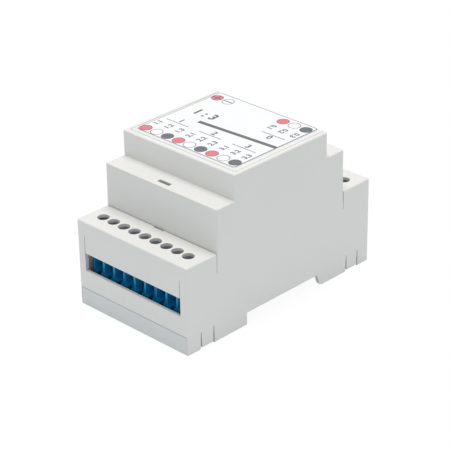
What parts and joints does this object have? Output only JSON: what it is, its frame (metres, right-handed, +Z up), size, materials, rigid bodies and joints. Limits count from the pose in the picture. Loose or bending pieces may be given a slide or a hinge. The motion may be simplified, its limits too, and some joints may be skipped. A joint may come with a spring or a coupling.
{
  "type": "dmx splitter",
  "caption": "Rail-mount lighting-control signal splitter: stepped light-grey housing, screw terminals in windows at both ends, inset labelled panel on top and a sprung rail latch below.",
  "frame": {"origin": "centre of the bounding box's bottom face, in the plane of the two feet", "axes": "+X across the modules, +Y from the output end to the power and input end, +Z up away from the rail"},
  "size_m": [0.0524, 0.09, 0.058],
  "materials": {
    "housing": "fine moulded satin, light grey",
    "base": "fine moulded satin, light grey",
    "latch": "satin, mid grey",
    "panel": "fine satin, pale grey",
    "label": "printed white film",
    "board": "green solder resist",
    "terminal": "moulded blue nylon",
    "screw": "zinc plated",
    "cage": "nickel plated",
    "contact": "tin plated",
    "chip": "black moulding compound",
    "regulator": "black moulding compound with a metal tab",
    "capacitor": "dark shrink sleeve on an aluminium can",
    "fuse": "amber dipped coating"
  },
  "bodies": {
    "enclosure": {"upper_housing": "housing", "base_tray": "base", "front_panel": "panel", "label_sheet": "label", "circuit_board": "board", "output_driver_1": "chip", "output_driver_2": "chip", "output_driver_3": "chip", "input_receiver": "chip", "voltage_regulator": "regulator", "supply_capacitor": "capacitor", "supply_fuse": "fuse", "output_terminal_1": "terminal", "output_terminal_2": "terminal", "output_terminal_3": "terminal", "power_terminal": "terminal", "input_terminal": "terminal", "contact_output_1_1": "contact", "contact_output_1_2": "contact", "contact_output_1_3": "contact", "contact_output_2_1": "contact", "contact_output_2_2": "contact", "contact_output_2_3": "contact", "contact_output_3_1": "contact", "contact_output_3_2": "contact", "contact_output_3_3": "contact", "contact_power_1": "contact", "contact_power_2": "contact", "contact_input_1": "contact", "contact_input_2": "contact", "contact_input_3": "contact"},
    "rail_latch": {"rail_latch": "latch"},
    "clamp_screw_output_1_1": {"clamp_screw_output_1_1": "screw"},
    "clamp_screw_output_1_2": {"clamp_screw_output_1_2": "screw"},
    "clamp_screw_output_1_3": {"clamp_screw_output_1_3": "screw"},
    "clamp_screw_output_2_1": {"clamp_screw_output_2_1": "screw"},
    "clamp_screw_output_2_2": {"clamp_screw_output_2_2": "screw"},
    "clamp_screw_output_2_3": {"clamp_screw_output_2_3": "screw"},
    "clamp_screw_output_3_1": {"clamp_screw_output_3_1": "screw"},
    "clamp_screw_output_3_2": {"clamp_screw_output_3_2": "screw"},
    "clamp_screw_output_3_3": {"clamp_screw_output_3_3": "screw"},
    "clamp_screw_power_1": {"clamp_screw_power_1": "screw"},
    "clamp_screw_power_2": {"clamp_screw_power_2": "screw"},
    "clamp_screw_input_1": {"clamp_screw_input_1": "screw"},
    "clamp_screw_input_2": {"clamp_screw_input_2": "screw"},
    "clamp_screw_input_3": {"clamp_screw_input_3": "screw"},
    "clamp_cage_output_1_1": {"clamp_cage_output_1_1": "cage"},
    "clamp_cage_output_1_2": {"clamp_cage_output_1_2": "cage"},
    "clamp_cage_output_1_3": {"clamp_cage_output_1_3": "cage"},
    "clamp_cage_output_2_1": {"clamp_cage_output_2_1": "cage"},
    "clamp_cage_output_2_2": {"clamp_cage_output_2_2": "cage"},
    "clamp_cage_output_2_3": {"clamp_cage_output_2_3": "cage"},
    "clamp_cage_output_3_1": {"clamp_cage_output_3_1": "cage"},
    "clamp_cage_output_3_2": {"clamp_cage_output_3_2": "cage"},
    "clamp_cage_output_3_3": {"clamp_cage_output_3_3": "cage"},
    "clamp_cage_power_1": {"clamp_cage_power_1": "cage"},
    "clamp_cage_power_2": {"clamp_cage_power_2": "cage"},
    "clamp_cage_input_1": {"clamp_cage_input_1": "cage"},
    "clamp_cage_input_2": {"clamp_cage_input_2": "cage"},
    "clamp_cage_input_3": {"clamp_cage_input_3": "cage"}
  },
  "joints": [
    {"name": "latch_slide", "type": "slide", "parent": "enclosure", "child": "rail_latch", "axis": [0, 1, 0], "range_m": [0, 0.0035], "stiffness_N_per_m": 1500, "springref_m": -0.001},
    {"name": "turn_output_1_1", "type": "hinge", "parent": "enclosure", "child": "clamp_screw_output_1_1", "pos_m": [-0.02032, -0.0382, 0.0225], "axis": [0, 0, 1], "range_deg": [0, 2160]},
    {"name": "lift_output_1_1", "type": "slide", "parent": "enclosure", "child": "clamp_cage_output_1_1", "axis": [0, 0, 1], "range_m": [-0.0027, 0]},
    {"name": "turn_output_1_2", "type": "hinge", "parent": "enclosure", "child": "clamp_screw_output_1_2", "pos_m": [-0.01524, -0.0382, 0.0225], "axis": [0, 0, 1], "range_deg": [0, 2160]},
    {"name": "lift_output_1_2", "type": "slide", "parent": "enclosure", "child": "clamp_cage_output_1_2", "axis": [0, 0, 1], "range_m": [-0.0027, 0]},
    {"name": "turn_output_1_3", "type": "hinge", "parent": "enclosure", "child": "clamp_screw_output_1_3", "pos_m": [-0.01016, -0.0382, 0.0225], "axis": [0, 0, 1], "range_deg": [0, 2160]},
    {"name": "lift_output_1_3", "type": "slide", "parent": "enclosure", "child": "clamp_cage_output_1_3", "axis": [0, 0, 1], "range_m": [-0.0027, 0]},
    {"name": "turn_output_2_1", "type": "hinge", "parent": "enclosure", "child": "clamp_screw_output_2_1", "pos_m": [-0.00508, -0.0382, 0.0225], "axis": [0, 0, 1], "range_deg": [0, 2160]},
    {"name": "lift_output_2_1", "type": "slide", "parent": "enclosure", "child": "clamp_cage_output_2_1", "axis": [0, 0, 1], "range_m": [-0.0027, 0]},
    {"name": "turn_output_2_2", "type": "hinge", "parent": "enclosure", "child": "clamp_screw_output_2_2", "pos_m": [0, -0.0382, 0.0225], "axis": [0, 0, 1], "range_deg": [0, 2160]},
    {"name": "lift_output_2_2", "type": "slide", "parent": "enclosure", "child": "clamp_cage_output_2_2", "axis": [0, 0, 1], "range_m": [-0.0027, 0]},
    {"name": "turn_output_2_3", "type": "hinge", "parent": "enclosure", "child": "clamp_screw_output_2_3", "pos_m": [0.00508, -0.0382, 0.0225], "axis": [0, 0, 1], "range_deg": [0, 2160]},
    {"name": "lift_output_2_3", "type": "slide", "parent": "enclosure", "child": "clamp_cage_output_2_3", "axis": [0, 0, 1], "range_m": [-0.0027, 0]},
    {"name": "turn_output_3_1", "type": "hinge", "parent": "enclosure", "child": "clamp_screw_output_3_1", "pos_m": [0.01016, -0.0382, 0.0225], "axis": [0, 0, 1], "range_deg": [0, 2160]},
    {"name": "lift_output_3_1", "type": "slide", "parent": "enclosure", "child": "clamp_cage_output_3_1", "axis": [0, 0, 1], "range_m": [-0.0027, 0]},
    {"name": "turn_output_3_2", "type": "hinge", "parent": "enclosure", "child": "clamp_screw_output_3_2", "pos_m": [0.01524, -0.0382, 0.0225], "axis": [0, 0, 1], "range_deg": [0, 2160]},
    {"name": "lift_output_3_2", "type": "slide", "parent": "enclosure", "child": "clamp_cage_output_3_2", "axis": [0, 0, 1], "range_m": [-0.0027, 0]},
    {"name": "turn_output_3_3", "type": "hinge", "parent": "enclosure", "child": "clamp_screw_output_3_3", "pos_m": [0.02032, -0.0382, 0.0225], "axis": [0, 0, 1], "range_deg": [0, 2160]},
    {"name": "lift_output_3_3", "type": "slide", "parent": "enclosure", "child": "clamp_cage_output_3_3", "axis": [0, 0, 1], "range_m": [-0.0027, 0]},
    {"name": "turn_power_1", "type": "hinge", "parent": "enclosure", "child": "clamp_screw_power_1", "pos_m": [-0.02032, 0.0382, 0.0225], "axis": [0, 0, 1], "range_deg": [0, 2160]},
    {"name": "lift_power_1", "type": "slide", "parent": "enclosure", "child": "clamp_cage_power_1", "axis": [0, 0, 1], "range_m": [-0.0027, 0]},
    {"name": "turn_power_2", "type": "hinge", "parent": "enclosure", "child": "clamp_screw_power_2", "pos_m": [-0.01524, 0.0382, 0.0225], "axis": [0, 0, 1], "range_deg": [0, 2160]},
    {"name": "lift_power_2", "type": "slide", "parent": "enclosure", "child": "clamp_cage_power_2", "axis": [0, 0, 1], "range_m": [-0.0027, 0]},
    {"name": "turn_input_1", "type": "hinge", "parent": "enclosure", "child": "clamp_screw_input_1", "pos_m": [0.01016, 0.0382, 0.0225], "axis": [0, 0, 1], "range_deg": [0, 2160]},
    {"name": "lift_input_1", "type": "slide", "parent": "enclosure", "child": "clamp_cage_input_1", "axis": [0, 0, 1], "range_m": [-0.0027, 0]},
    {"name": "turn_input_2", "type": "hinge", "parent": "enclosure", "child": "clamp_screw_input_2", "pos_m": [0.01524, 0.0382, 0.0225], "axis": [0, 0, 1], "range_deg": [0, 2160]},
    {"name": "lift_input_2", "type": "slide", "parent": "enclosure", "child": "clamp_cage_input_2", "axis": [0, 0, 1], "range_m": [-0.0027, 0]},
    {"name": "turn_input_3", "type": "hinge", "parent": "enclosure", "child": "clamp_screw_input_3", "pos_m": [0.02032, 0.0382, 0.0225], "axis": [0, 0, 1], "range_deg": [0, 2160]},
    {"name": "lift_input_3", "type": "slide", "parent": "enclosure", "child": "clamp_cage_input_3", "axis": [0, 0, 1], "range_m": [-0.0027, 0]}
  ],
  "couplings": [
    {"joint": "turn_output_1_1", "follows": "lift_output_1_1", "rad_per_m": -13963},
    {"joint": "turn_output_1_2", "follows": "lift_output_1_2", "rad_per_m": -13963},
    {"joint": "turn_output_1_3", "follows": "lift_output_1_3", "rad_per_m": -13963},
    {"joint": "turn_output_2_1", "follows": "lift_output_2_1", "rad_per_m": -13963},
    {"joint": "turn_output_2_2", "follows": "lift_output_2_2", "rad_per_m": -13963},
    {"joint": "turn_output_2_3", "follows": "lift_output_2_3", "rad_per_m": -13963},
    {"joint": "turn_output_3_1", "follows": "lift_output_3_1", "rad_per_m": -13963},
    {"joint": "turn_output_3_2", "follows": "lift_output_3_2", "rad_per_m": -13963},
    {"joint": "turn_output_3_3", "follows": "lift_output_3_3", "rad_per_m": -13963},
    {"joint": "turn_power_1", "follows": "lift_power_1", "rad_per_m": -13963},
    {"joint": "turn_power_2", "follows": "lift_power_2", "rad_per_m": -13963},
    {"joint": "turn_input_1", "follows": "lift_input_1", "rad_per_m": -13963},
    {"joint": "turn_input_2", "follows": "lift_input_2", "rad_per_m": -13963},
    {"joint": "turn_input_3", "follows": "lift_input_3", "rad_per_m": -13963}
  ]
}
